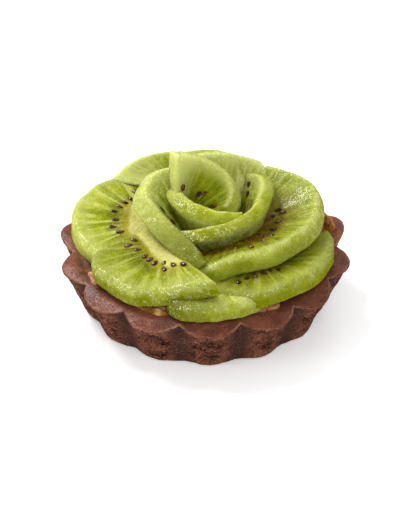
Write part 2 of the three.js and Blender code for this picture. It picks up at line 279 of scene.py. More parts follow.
class Graph:
    """A material's node tree, written by expressions."""

    def __init__(self, name: str) -> None:
        """Starts an empty material.

        Args:
            name: The material's name.
        """
        self.material = bpy.data.materials.new(name)
        self.material.use_nodes = True
        self.tree = self.material.node_tree
        self.tree.nodes.clear()

    def node(self, kind: str, settings: dict, inputs: dict) -> bpy.types.Node:
        """Adds one node.

        Args:
            kind: The node's type.
            settings: The node's own properties, set first.
            inputs: A value, a default or a link for each socket, by name or number.

        Returns:
            The node.
        """
        node = self.tree.nodes.new(kind)
        for name, setting in settings.items():
            setattr(node, name, setting)
        for key, value in inputs.items():
            if isinstance(value, Value):
                self.tree.links.new(value.socket, node.inputs[key])
            else:
                node.inputs[key].default_value = value
        return node

    def math(self, operation: str, first: Term, second: Term) -> Value:
        """A Math node on two numbers."""
        node = self.node("ShaderNodeMath", {"operation": operation}, {0: first, 1: second})
        return Value(self, node.outputs[0])

    def mix(self, factor: Term, first: Paint, second: Paint) -> Value:
        """Blends two colours.

        Args:
            factor: The second colour's share, held between 0 and 1.
            first: The colour at a factor of 0.
            second: The colour at a factor of 1.

        Returns:
            The blend.
        """
        inputs = {0: factor, 6: first, 7: second}
        node = self.node("ShaderNodeMix", {"data_type": "RGBA"}, inputs)
        return Value(self, node.outputs[2])

    def place(self) -> Value:
        """The place on the piece, in metres."""
        return Value(self, self.node("ShaderNodeTexCoord", {}, {}).outputs["Object"])

    def attribute(self, name: str) -> Value:
        """A vector that the mesh carries."""
        node = self.node("ShaderNodeAttribute", {"attribute_name": name}, {})
        return Value(self, node.outputs["Vector"])

    def stretched(self, vector: Value, scale: Point) -> Value:
        """A vector, scaled along each axis."""
        node = self.node("ShaderNodeVectorMath", {"operation": "MULTIPLY"}, {0: vector, 1: scale})
        return Value(self, node.outputs[0])

    def parts(self, vector: Value) -> list[Value]:
        """The three numbers of a vector."""
        node = self.node("ShaderNodeSeparateXYZ", {}, {0: vector})
        return [Value(self, socket) for socket in node.outputs]

    def noise(self, vector: Value, scale: float, detail: float = 2.0, rough: float = 0.5) -> Value:
        """Soft noise, 0 to 1 round a middle of 0.5.

        Args:
            vector: Where the noise is read.
            scale: Its number of lumps per unit.
            detail: Its number of finer octaves.
            rough: How strong the finer octaves are.

        Returns:
            The noise.
        """
        inputs = {"Vector": vector, "Scale": scale, "Detail": detail, "Roughness": rough}
        return Value(self, self.node("ShaderNodeTexNoise", {}, inputs).outputs[0])

    def cells(self, vector: Value, scale: float) -> Value:
        """The distance to the nearest of some scattered points, 0 at a point."""
        node = self.node("ShaderNodeTexVoronoi", {}, {"Vector": vector, "Scale": scale})
        return Value(self, node.outputs["Distance"])

    def bump(self, height: Value, distance: float, strength: float = 1.0) -> Value:
        """A normal that shows a height in relief, distance metres for a height of 1."""
        inputs = {"Height": height, "Distance": distance, "Strength": strength}
        return Value(self, self.node("ShaderNodeBump", {}, inputs).outputs[0])

    def finish(self, inputs: dict) -> bpy.types.Material:
        """Adds the shader and the output.

        Args:
            inputs: The Principled shader's sockets.

        Returns:
            The finished material.
        """
        shader = self.node("ShaderNodeBsdfPrincipled", {}, inputs)
        surface = Value(self, shader.outputs[0])
        self.node("ShaderNodeOutputMaterial", {}, {"Surface": surface})
        return self.material


# ---------------------------------------------------------------------------------------------
# Finishes
# ---------------------------------------------------------------------------------------------


@dataclass(frozen=True)
class KiwiFlesh:
    """Wet green flesh, with fibres that run out from a pale core.

    Meshes carry `ray` (cosine and sine round the fruit, share of the way to the rim), `zone`
    (peeled rim or cut end, gap to the core in units of 5 mm, depth), `trait` (painted sheen on
    the margin, a browned seed bed that is partly a painted shade, and painted shade on the ends,
    which is painted light below 0) and `mood` (deeper green, how far out, painted glints).
    """

    core: Colour = display(214, 206, 122)
    inner: Colour = display(176, 158, 44)
    # The seed bed's colour, which is also painted as shade on the slices' ends.
    seed_bed_and_shade: Colour = display(104, 108, 4)
    # The browned seed bed, partly a painted shade.
    brown_bed_and_shade: Colour = display(112, 62, 12)
    dark_fibre: Colour = display(80, 76, 8)
    flesh: Colour = display(156, 167, 4)
    pale: Colour = display(202, 206, 108)
    lush: Colour = display(166, 177, 24)
    deep: Colour = display(126, 138, 0)
    outer: Colour = display(192, 197, 116)
    rim: Colour = display(178, 184, 20)
    milky: Colour = display(208, 214, 92)
    rim_low: Colour = display(138, 146, 0)
    # A painted sheen: painted highlights on the lips, margins and glinting faces, and painted light
    # on the ends.
    painted_sheen: Colour = display(222, 226, 142)
    # Painted glints.
    painted_glint: Colour = display(240, 243, 190)
    streaks: float = 8.5
    streak_run: float = 1.1
    fine_streaks: float = 24.0
    blotches: float = 240.0
    grain: float = 1300.0
    sparkle: float = 2600.0
    clouds: float = 650.0
    specks: float = 1700.0
    patches: float = 95.0
    hatches: float = 1500.0

    def material(self) -> bpy.types.Material:
        """Builds the node material.

        Returns:
            The material.
        """
        graph = Graph("kiwi_flesh")
        maps = FleshMaps(graph, self)
        colour = self.cut_face(maps).coated((maps.wall, self.peeled_rim(maps)))
        colour = self.with_painted_glints(self.shaded(colour, maps), maps)
        beads = 0.16 + 0.4 * maps.blotch.step(0.4, 0.58) + 0.4 * maps.lip
        fibres = 0.26 * maps.fibre + 0.16 * maps.fine
        height = fibres + 0.24 * maps.blotch + 0.22 * maps.grain + beads * maps.sparkle
        wet = 0.3 + 0.6 * maps.blotch.step(0.42, 0.56)
        return graph.finish({
            "Base Color": colour,
            "Roughness": 0.16 + 0.24 * maps.grain,
            "Normal": graph.bump(height, 0.001, 1.0),
            "IOR": 1.27,
            "Specular IOR Level": 0.3,
            "Subsurface Weight": 0.85,
            "Subsurface Radius": (1.0, 1.1, 0.3),
            "Subsurface Scale": 0.0016,
            "Coat Weight": maps.sparkle.step(0.46, 0.56) * wet,
            "Coat Roughness": 0.09,
            "Coat IOR": 1.33,
        })

    def cut_face(self, maps: "FleshMaps") -> Value:
        """The cut face: margin, seed bed, fibres and core, in that order.

        Args:
            maps: The flesh's patterns.

        Returns:
            The colour.
        """
        share, fibre, wander = maps.share, maps.fibre, maps.wander
        browning_and_shade, deepening, light = maps.browning_and_shade, maps.deepening, maps.light
        margin = share.step(0.68, 1.0) * (0.45 + 0.45 * maps.blotch.step(0.36, 0.6))
        inside = share.step(maps.deep_out + 0.05, maps.deep_out - 0.1)
        bed = wander.step(0.2, 0.36) * wander.step(0.7, 0.46)
        furrow = fibre.step(0.5, 0.36) * share.step(0.25, 0.45) * share.step(0.96, 0.74)
        hair = maps.fine.step(0.5, 0.38) * wander.step(0.5, 0.6) * wander.step(1.0, 0.82)
        streak = fibre.step(0.48, 0.64) * share.step(0.2, 0.42) * share.step(1.05, 0.8)
        fine_streak = maps.fine.step(0.5, 0.7) * share.step(0.2, 0.5)
        near_core = (maps.gap + 0.35 * (maps.fine - 0.5)).step(1.3, 0.6)

        return maps.graph.mix(margin, self.flesh, self.outer).coated(
            (deepening * inside, self.deep),
            # Where `browning_and_shade` is set the seed bed is browned, partly a painted shade.
            (bed * 0.9, maps.graph.mix(browning_and_shade, self.seed_bed_and_shade, self.brown_bed_and_shade)),
            (browning_and_shade * wander.step(0.9, 0.56), self.brown_bed_and_shade),
            (furrow * 0.4, self.seed_bed_and_shade),
            (browning_and_shade * hair * 0.7, self.dark_fibre),
            (streak * (0.8 - 0.45 * browning_and_shade - 0.3 * deepening), light),
            (fine_streak * 0.24, light),
            (near_core * 0.8, self.inner),
            (maps.core, self.core),
            (maps.blotch.step(0.5, 0.3) * 0.25, self.rim_low),
        )

    def peeled_rim(self, maps: "FleshMaps") -> Value:
        """The peeled rim: milky above in small and large patches, greener below.

        Args:
            maps: The flesh's patterns.

        Returns:
            The colour.
        """
        depth = maps.depth
        return maps.graph.mix(depth.step(0.0, 0.6), self.rim, self.rim_low).coated(
            (maps.blotch.step(0.46, 0.64) * (0.45 - 0.4 * depth), self.milky),
            (maps.patch.step(0.46, 0.62) * (0.5 - 0.45 * depth), self.milky),
        )

    def shaded(self, colour: Value, maps: "FleshMaps") -> Value:
        """Paints highlights on lips, sheen on margins, clouds, and light and shade on the ends.

        Args:
            colour: The colour so far.
            maps: The flesh's patterns.

        Returns:
            The colour.
        """
        # The lips' pale coat is a painted highlight and the margin's a painted sheen; `shade`
        # paints shade on the ends in the seed bed's colour, sparing the core, and below 0 paints
        # light.
        return colour.coated(
            (maps.lip * 0.4 * maps.blotch.step(0.42, 0.62), self.painted_sheen),
            (maps.tone * maps.share.step(0.84, 1.0), self.painted_sheen),
            (maps.cloud.step(0.48, 0.68) * 0.2, maps.light),
            (maps.cloud.step(0.5, 0.32) * 0.16, self.deep),
            (maps.shade * (0.8 - 0.8 * maps.core), self.seed_bed_and_shade),
            (-1.0 * maps.shade, self.painted_sheen),
        )

    def with_painted_glints(self, colour: Value, maps: "FleshMaps") -> Value:
        """Paints pale and dark strokes on glinting faces, hatched glints on rims, and glint spots.

        Args:
            colour: The colour so far.
            maps: The flesh's patterns.

        Returns:
            The colour.
        """
        spread = maps.painted_glints * maps.share.step(0.5, 0.9)
        strokes = spread * (1.0 - maps.wall)
        hatching = maps.hatch.step(0.5, 0.62) * maps.cloud.step(0.4, 0.54)
        spots = maps.speck.step(0.4, 0.24) * maps.cloud.step(0.42, 0.56)
        # Pale strokes are painted highlights; hatching and spots are painted glints, spots also on
        # lips.
        return colour.coated(
            (maps.fine.step(0.5, 0.64) * strokes * 0.36, self.painted_sheen),
            (maps.fine.step(0.46, 0.34) * strokes * 0.36, self.deep),
            (hatching * spread * maps.wall * 0.5, self.painted_glint),
            (spots * (0.75 * spread + 0.6 * maps.lip), self.painted_glint),
        )


class FleshMaps:
    """The patterns of the flesh: what its mesh carries, and noise at several sizes."""

    def __init__(self, graph: Graph, finish: KiwiFlesh) -> None:
        """Adds the patterns' nodes.

        Args:
            graph: The material's graph.
            finish: The finish, which holds the patterns' sizes.
        """
        self.graph = graph
        place, ray = graph.place(), graph.attribute("ray")
        self.share = graph.parts(ray)[2]
        self.wall, self.gap, self.depth = graph.parts(graph.attribute("zone"))
        # `trait` carries the painted sheen on the margin, the browned seed bed that is partly
        # painted shade, and the painted shade on the ends; `mood` ends with how many glints are
        # painted.
        self.tone, self.browning_and_shade, self.shade = graph.parts(graph.attribute("trait"))
        self.deepening, self.deep_out, self.painted_glints = graph.parts(graph.attribute("mood"))

        coarse, thin, run = finish.streaks, finish.fine_streaks, finish.streak_run
        self.fibre = graph.noise(graph.stretched(ray, (coarse, coarse, run)), 1.0, 1.5)
        self.fine = graph.noise(graph.stretched(ray, (thin, thin, 2 * run)), 1.0, 2.0)
        self.blotch = graph.noise(place, finish.blotches, 3.0)
        self.grain = graph.noise(place, finish.grain, 3.0, 0.6)
        self.sparkle = graph.noise(place, finish.sparkle, 1.0)
        self.cloud = graph.noise(place, finish.clouds, 2.0)
        # `speck` and `hatch` lay out the painted glints.
        self.speck = graph.cells(place, finish.specks)
        self.patch = graph.noise(place, finish.patches, 1.0)
        self.hatch = graph.noise(graph.stretched(place, (1.0, 1.0, 0.4)), finish.hatches, 1.0)

        wobble = 0.14 * (self.blotch - 0.5)
        self.wander = self.share + 0.1 * (self.fibre - 0.5) + wobble
        self.core = (self.gap + wobble).step(0.64, 0.36)
        # The crest band, which gets a painted highlight and painted glints.
        lip = self.wall.step(0.0, 0.3) * self.wall.step(0.98, 0.5)
        self.lip = lip * (1.0 - self.depth.step(0.3, 0.6))
        self.light = graph.mix(self.deepening, finish.pale, finish.lush)


@dataclass(frozen=True)
class KiwiSeed:
    """Glossy, nearly black seeds with a brown cast."""

    dark: Colour = display(52, 30, 17)
    brown: Colour = display(120, 74, 40)
    lumps: float = 500.0

    def material(self) -> bpy.types.Material:
        """Builds the node material.

        Returns:
            The material.
        """
        graph = Graph("kiwi_seed")
        lump = graph.noise(graph.place(), self.lumps, 2.0)
        return graph.finish({
            "Base Color": graph.mix(lump.step(0.42, 0.66), self.dark, self.brown),
            "Roughness": 0.22 + 0.2 * lump,
            "Normal": graph.bump(lump, 0.0001),
            "IOR": 1.4,
            "Coat Weight": 0.9,
            "Coat Roughness": 0.08,
        })


@dataclass(frozen=True)
class Crust:
    """Baked cocoa shortcrust, with painted shade in its grooves, pores and cracks and on the rim's
    top.

    The mesh carries `bake` (pit, flute, top) and `trim` (crisp outer edge of the rim, caramel).
    """

    wall: Colour = display(132, 73, 50)
    crumb: Colour = display(180, 120, 92)
    # Painted shade in the grooves; also random dark mottles and darker patches on the top.
    groove: Colour = display(76, 43, 31)
    # The rim's top, painted darker than the wall: a painted shade that evens out the light from
    # above.
    top: Colour = display(120, 68, 52)
    edge: Colour = display(176, 122, 94)
    # Pores and cracks, painted nearly black: a painted shade in the recesses.
    pit: Colour = display(24, 11, 7)
    caramel: Colour = display(176, 112, 64)
    mottles: float = 260.0
    clouds: float = 170.0
    crumbs: float = 2000.0
    cracks: float = 560.0
    pores: float = 1700.0
    flatness: float = 3.4
    specks: float = 1500.0

    def material(self) -> bpy.types.Material:
        """Builds the node material.

        Returns:
            The material.
        """
        graph = Graph("cocoa_crust")
        place = graph.place()
        flat = graph.stretched(place, (1.0, 1.0, self.flatness))
        pit, flute, top = graph.parts(graph.attribute("bake"))
        edge, burnt, _ = graph.parts(graph.attribute("trim"))
        mottle = graph.noise(place, self.mottles, 4.0, 0.6)
        crumb = graph.noise(place, self.crumbs, 2.0, 0.6)
        crack = graph.noise(flat, self.cracks, 3.0, 0.6).away(0.5).step(0.045, 0.02)
        pore = graph.cells(flat, self.pores).step(0.36, 0.24) * mottle.step(0.36, 0.48)
        speck = graph.cells(place, self.specks).step(0.3, 0.2)
        shine = graph.noise(place, self.clouds, 2.0)
        bulge = flute.step(0.4, 0.8) * (1.0 - 0.7 * top)
        rough = crack * mottle.step(0.46, 0.58) * bulge
        holes = pore * (0.15 + 0.85 * bulge)
        crumbs = crumb.step(0.54, 0.68) * (0.28 + 0.57 * bulge - 0.2 * top)
        lip_line = edge * (0.2 + 0.7 * mottle.step(0.42, 0.56)) * crumb.step(0.3, 0.5)

        # The grooves' darker colour and the top's darker coat are painted shade.
        colour = graph.mix(flute.step(0.3, 0.85), self.groove, self.wall).coated(
            (mottle.step(0.55, 0.3) * 0.3, self.groove),
            (top * 0.85, self.top),
            (top * shine.step(0.52, 0.4) * 0.55, self.groove),
            (crumbs, self.crumb),
            (speck * mottle.step(0.5, 0.6) * 0.5, self.edge),
            (lip_line, self.edge),
            (burnt * mottle.step(0.5, 0.56) * 0.8, self.caramel),
            # Pores, cracks and pits painted nearly black: a painted shade in the recesses.
            (holes * 0.85, self.pit),
            (rough * 0.8, self.pit),
            (pit * 0.85, self.pit),
        )
        height = 0.5 * crumb + 0.4 * mottle - 0.8 * holes - 1.1 * rough
        return graph.finish({
            "Base Color": colour,
            "Roughness": 0.74 + 0.12 * crumb - 0.46 * top,
            "Normal": graph.bump(height * (1.0 - 0.72 * top), 0.001, 1.0),
            "IOR": 1.42,
            "Specular IOR Level": 0.42,
        })


@dataclass(frozen=True)
class BakedCream:
    """Baked cream, tan with browned and juicy patches.

    Meshes may carry `toast` (how far it is baked to caramel, how far it is dry and peach).
    """

    tan: Colour = display(142, 94, 28)
    pale: Colour = display(200, 156, 98)
    brown: Colour = display(104, 66, 22)
    caramel: Colour = display(176, 108, 58)
    peach: Colour = display(214, 158, 124)
    patches: float = 330.0
    grain: float = 900.0

    def material(self) -> bpy.types.Material:
        """Builds the node material.

        Returns:
            The material.
        """
        graph = Graph("baked_cream")
        place = graph.place()
        patch = graph.noise(place, self.patches, 3.0)
        grain = graph.noise(place, self.grain, 2.0)
        toast, dry, _ = graph.parts(graph.attribute("toast"))
        colour = graph.mix(patch.step(0.5, 0.68), self.tan, self.pale).coated(
            (patch.step(0.46, 0.34), self.brown),
            (toast * (0.3 + 0.7 * grain.step(0.4, 0.6)), self.caramel),
            (dry * (0.4 + 0.6 * grain.step(0.36, 0.56)), self.peach),
        )
        return graph.finish({
            "Base Color": colour,
            "Roughness": 0.35 + 0.2 * grain,
            "Normal": graph.bump(0.6 * patch + 0.4 * grain, 0.0006, 0.7),
            "Subsurface Weight": 0.15,
            "Subsurface Radius": (1.0, 0.6, 0.3),
            "Subsurface Scale": 0.002,
        })


@dataclass(frozen=True)
class FloorPaint:
    """A plain pale studio floor."""

    tint: Colour = (0.9, 0.9, 0.9, 1.0)
    glow: float = 0.3

    def material(self) -> bpy.types.Material:
        """Builds the node material.

        Returns:
            The material.
        """
        graph = Graph("studio_floor")
        return graph.finish({
            "Base Color": self.tint,
            "Roughness": 0.9,
            "Specular IOR Level": 0.1,
            "Emission Color": self.tint,
            "Emission Strength": self.glow,
        })


# ---------------------------------------------------------------------------------------------
# Meshes
# ---------------------------------------------------------------------------------------------


@dataclass
class Skin:
    """A grid that is rolled into a closed skin: columns run one way, an outline the other."""

    columns: int
    rows: int
    closed: bool
    layers: tuple[str, ...]

    def roll(self, place: Placer) -> bmesh.types.BMesh:
        """Rolls the grid up.

        Args:
            place: Gives, for a column and a row, the point and a vector for each layer.

        Returns:
            The closed skin, in millimetres, with its faces pointing out.
        """
        bm = bmesh.new()
        layers = [bm.verts.layers.float_vector.new(name) for name in self.layers]
        steps = {"x_segments": self.columns, "y_segments": self.rows, "size": 0.5}
        bmesh.ops.create_grid(bm, **steps)
        for vert in bm.verts:
            column = round((vert.co.x + 0.5) * self.columns)
            row = round((vert.co.y + 0.5) * self.rows)
            vert.co, facts = place(column, row)
            for layer, fact in zip(layers, facts):
                vert[layer] = fact
        bmesh.ops.remove_doubles(bm, verts=bm.verts, dist=MERGE_MM)
        if not self.closed:
            rims = [edge for edge in bm.edges if edge.is_boundary]
            bmesh.ops.holes_fill(bm, edges=rims, sides=0)
        bmesh.ops.recalc_face_normals(bm, faces=bm.faces)
        return bm


def roughen(bm: bmesh.types.BMesh, relief: Relief) -> None:
    """Moves each vertex along its normal.

    Args:
        bm: The mesh, in millimetres.
        relief: The height at a vertex, in millimetres.
    """
    bm.normal_update()
    moves = [(vert, vert.normal * relief(vert)) for vert in bm.verts]
    for vert, move in moves:
        vert.co += move


def piece_from(bm: bmesh.types.BMesh, name: str, material: bpy.types.Material) -> bpy.types.Object:
    """Turns a mesh in millimetres into a shaded object in metres, at the origin.

    Args:
        bm: The mesh; it is freed.
        name: The object's name.
        material: Its finish.

    Returns:
        The object.
    """
    bmesh.ops.scale(bm, vec=(MM, MM, MM), verts=bm.verts)
    for face in bm.faces:
        face.smooth = True
    mesh = bpy.data.meshes.new(name)
    bm.to_mesh(mesh)
    bm.free()
    mesh.materials.append(material)
    piece = bpy.data.objects.new(name, mesh)
    bpy.context.scene.collection.objects.link(piece)
    return piece


def dress(piece: bpy.types.Object, nodes: Sequence[str]) -> bpy.types.Object:
    """Ties a finished piece to the frame.

    Args:
        piece: The piece.
        nodes: The solids that it stands for, if any.

    Returns:
        The piece.
    """
    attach(piece, BODY)
    if nodes:
        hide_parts(*nodes)
    log.info("%s: %d faces", piece.name, len(piece.data.polygons))
    return piece


# ---------------------------------------------------------------------------------------------
# Shell
# ---------------------------------------------------------------------------------------------


@dataclass(frozen=True)
class Crack:
    """A long crack in the shell's wall, in millimetres; `heading` is in degrees.

    `height` is its middle's height and `rise` how much higher its anticlockwise end lies.
    `width` is half its width, and `bed` half that of its flat bottom. It wanders up and down by
    `wander`, once in about `wander_run`.
    """

    heading: float
    height: float
    length: float
    rise: float = 0.0
    width: float = 0.72
    bed: float = 0.2
    wander: float = 0.7
    wander_run: float = 1.1

    def depth(self, place: Vector) -> float:
        """How deep the crack is at a place on the wall, 0 to 1.

        Args:
            place: The place, in millimetres.

        Returns:
            The depth, 0 to 1.
        """
        turn = math.radians(self.heading)
        if place.x * math.cos(turn) + place.y * math.sin(turn) < 0:
            return 0.0
        along = place.y * math.cos(turn) - place.x * math.sin(turn)
        wander = noise.noise(Vector((along / self.wander_run, self.heading, 0)))
        level = self.height + self.rise * along / self.length + wander * self.wander
        end = ease(abs(along), self.length / 2, self.length / 4)
        return end * ease(abs(place.z - level), self.width * (0.4 + 0.6 * end), self.bed)


@dataclass
class Shell:
    """The fluted shortcrust shell, in millimetres.

    `tip_lifts` and `tip_reaches` say how much higher and farther out each flute's lip lies than
    an even one. The section has a span from each of its corners to the next; `samples` gives
    the rows of each span, and `marks` the corners at the foot, the rim, the lip, the inner edge
    and the hollow's foot. `lumps` is the relief, `pits` how deep the pores and cracks go.
    """

    height: float = 15.6
    flutes: int = 14
    first_flute_deg: float = -87.6
    tip_radius: float = 39.6
    groove_radius: float = 36.0
    base_tip_radius: float = 33.5
    base_groove_radius: float = 31.9
    tip_drop: float = 1.3
    tip_lifts: tuple[float, ...] = (
        -0.5, -0.7, -0.2, 1.2, 3.2, 1, 0.4, 0.2, 0.4, 0.9, 2.6, 1.1, -0.3, -0.4,
    )
    tip_reaches: tuple[float, ...] = (0, 0, 0, 0.5, 0.2, 0, 0, 0, 0, 0, 0.5, 0.2, 0, 0)
    caramel_flutes: tuple[int, ...] = (4,)
    cracks: tuple[Crack, ...] = (
        Crack(-87.3, 4.2, 7.0, -1.4),
        Crack(-90.0, 10.2, 3.2, -0.4),
        Crack(-94.0, 7.6, 2.6, -1.0),
        Crack(-111.0, 2.6, 5.6, 0.4),
        Crack(-107.0, 7.4, 3.0, -0.6),
        Crack(-134.0, 8.2, 4.0, -0.8),
        Crack(-60.0, 6.0, 4.0, 0.8),
        Crack(-36.0, 9.0, 3.4, 0.5),
        Crack(-10.0, 4.5, 5.0, 0.7),
        Crack(42.0, 8.5, 4.4, -0.6),
        Crack(68.0, 4.0, 6.0, 0.9),
        Crack(120.0, 7.0, 4.6, -0.8),
        Crack(170.0, 3.6, 5.4, 0.6),
        Crack(196.0, 8.8, 4.2, -0.5),
    )
    caramel_heights: Pair = (10.0, 14.0)
    unevenness: float = 0.06
    rim_sharpness: float = 0.42
    base_sharpness: float = 0.8
    crown: float = 0.7
    wall: float = 4.4
    floor: float = 3.8
    base_rounding: float = 1.6
    flare: float = 1.2
    steps_per_flute: int = 46
    steps_per_span: int = 16
    samples: tuple[int, ...] = (6, 4, 4, 14, 16, 12, 5, 5, 8, 6, 4, 4, 8, 3, 4)
    marks: tuple[int, ...] = (2, 7, 8, 12, 13)
    lumps: Bumps = ((4.5, 0.22), (1.4, 0.1), (0.6, 0.05))
    pits: float = 0.62
    pit_squash: float = 2.2
    patch_size: float = 4.5
    crack_size: float = 1.3
    pore_size: float = 0.7

    def flutes_past(self, heading: float) -> float:
        """How far a heading lies past the first flute's tip, counted in flutes."""
        return (math.degrees(heading) - self.first_flute_deg) / 360 * self.flutes

    def flute_at(self, heading: float) -> int:
        """The number of the flute at a heading, anticlockwise from the first."""
        return round(self.flutes_past(heading)) % self.flutes

    def flute_share(self, heading: float, sharpness: float) -> float:
        """How far out a heading lies between groove (0) and flute tip (1)."""
        return (0.5 + 0.5 * math.cos(2 * math.pi * self.flutes_past(heading))) ** sharpness

    def section(self, rim_share: float, base_share: float, flute: int) -> list[Vector]:
        """The section at one heading, from axis to axis.

        Args:
            rim_share: Where it lies between groove (0) and flute tip (1) at the rim.
            base_share: The same at the foot.
            flute: The flute's number, anticlockwise from the first.

        Returns:
            The section's corners in the XZ plane.
        """
        base = lerp(self.base_groove_radius, self.base_tip_radius, base_share)
        rim = lerp(self.groove_radius, self.tip_radius + self.tip_reaches[flute], rim_share)
        lip = self.height - (self.tip_drop - self.tip_lifts[flute]) * rim_share
        inner = self.groove_radius - self.wall
        ledge = (self.groove_radius + rim) / 2 - 1.8
        flared = [lerp(base, rim, t**self.flare) for t in (0.1, 0.4, 0.7, 0.93)]
        corners = [
            (0, 0),
            (base - self.base_rounding, 0),
            (base - 0.3 * self.base_rounding, 0.3 * self.base_rounding),
            (flared[0], 0.1 * self.height + 0.4),
            (flared[1], 0.4 * self.height),
            (flared[2], 0.7 * self.height),
            (flared[3], lip - 1),
            (rim, lip - 0.35),
            (rim - 0.5, lip),
            (ledge, (self.height + lip) / 2 + self.crown * rim_share),
            (self.groove_radius - 2.2, self.height),
            (inner + 0.6, self.height),
            (inner, self.height - 0.7),
            (inner - 2.4, self.floor + 1.4),
            (inner - 3.8, self.floor),
            (0, self.floor),
        ]
        return [Vector((r, 0, z)) for r, z in corners]

    def outline(self, rim_share: float, base_share: float, flute: int) -> list[Vector]:
        """The section as a smooth outline of close points.

        Args:
            rim_share: Where it lies between groove (0) and flute tip (1) at the rim.
            base_share: The same at the foot.
            flute: The flute's number, anticlockwise from the first.

        Returns:
            The outline in the XZ plane, from axis to axis.
        """
        section = self.section(rim_share, base_share, flute)
        fine = self.steps_per_span
        smooth = centripetal(section[1:-1], fine)
        spans = [[section[0], section[1]]]
        spans += [smooth[i * fine : (i + 1) * fine + 1] for i in range(len(section) - 3)]
        spans.append([section[-2], section[-1]])
        points = []
        for span, count in zip(spans, self.samples):
            path = Path(span)
            points += [path.at(path.length * k / count) for k in range(count)]
        points.append(section[-1].copy())
        return points

    def pit_depth(self, place: Vector, share: float, height: float) -> float:
        """How deep pores and cracks go at a place on the outer wall, 0 to 1.

        Args:
            place: The place, in millimetres.
            share: Where it lies between groove (0) and flute tip (1).
            height: How high it lies on the wall, 0 to 1.

        Returns:
            The depth, 0 to 1.
        """
        squashed = Vector((place.x, place.y, place.z * self.pit_squash))
        patch = noise.noise(squashed / self.patch_size + Vector((3, 7, 1)))
        patch = ease(patch, -0.35, 0.2)
        crack = 1 - abs(noise.noise(squashed / self.crack_size)) * 7
        pore = noise.noise(squashed / self.pore_size + Vector((9, 2, 5)))
        pore = ease(pore, 0.2, 0.45)
        band = ease(height, 0.06, 0.16) * ease(height, 0.95, 0.78)
        deep = clamp(crack, 0, 1) * 0.8 * patch + 0.9 * pore * patch
        deep *= band * lerp(0.2, 1.0, ease(share, 0.25, 0.8))
        return clamp(max(deep, *(crack.depth(place) for crack in self.cracks)), 0, 1)

    def build(self, material: bpy.types.Material) -> bpy.types.Object:
        """Builds and dresses the shell.

        Args:
            material: The crust's finish.

        Returns:
            The piece.
        """
        columns = self.flutes * self.steps_per_flute
        starts = [sum(self.samples[:i]) for i in range(len(self.samples) + 1)]
        foot, rim, lip, inner, hollow = (starts[mark] for mark in self.marks)
        headings = [2 * math.pi * column / columns for column in range(columns)]
        shares, outlines = [], []
        for heading in headings:
            bend = noise.noise(Vector((math.cos(heading), math.sin(heading), 4)) * 2.4)
            share = self.flute_share(heading, self.rim_sharpness) * (1 + self.unevenness * bend)
            share = clamp(share, 0, 1)
            base_share = self.flute_share(heading, self.base_sharpness)
            shares.append(share)
            outlines.append(self.outline(share, base_share, self.flute_at(heading)))

        def place(column: int, row: int) -> Spot:
            """Places a point of the grid.

            Args:
                column: Its column, round the shell.
                row: Its row, along the outline.

            Returns:
                The point with its `bake` and `trim`.
            """
            heading, share = headings[column % columns], shares[column % columns]
            point = turned(outlines[column % columns][row], heading)
            pit = self.pit_depth(point, share, point.z / self.height) if foot <= row <= rim else 0.0
            top = ease(row, rim, lip) * ease(row, hollow, inner)
            trim = lerp(1.0, 0.45, share) if rim <= row <= lip else 0.0
            caramel = self.flute_at(heading) in self.caramel_flutes
            burnt = ease(point.z, *self.caramel_heights) * share if caramel else 0.0
            return point, [Vector((pit, share, top)), Vector((trim, burnt, 0))]

        bm = Skin(columns, starts[-1], True, ("bake", "trim")).roll(place)
        bake = bm.verts.layers.float_vector["bake"]

        def relief(vert: bmesh.types.BMVert) -> float:
            """The relief of lumps and pits; the underside stays flat.

            Args:
                vert: A vertex of the shell.

            Returns:
                The height, in millimetres.
            """
            pit, _, top = vert[bake]
            if vert.co.z < 0.05:
                return 0.0
            height = bumps(vert.co, self.lumps) * lerp(1.0, 0.6, top) - self.pits * pit
            return max(height, -vert.co.z)

        roughen(bm, relief)
        return dress(piece_from(bm, "crust_shell", material), ["shell"])


# ---------------------------------------------------------------------------------------------
# Filling
# ---------------------------------------------------------------------------------------------


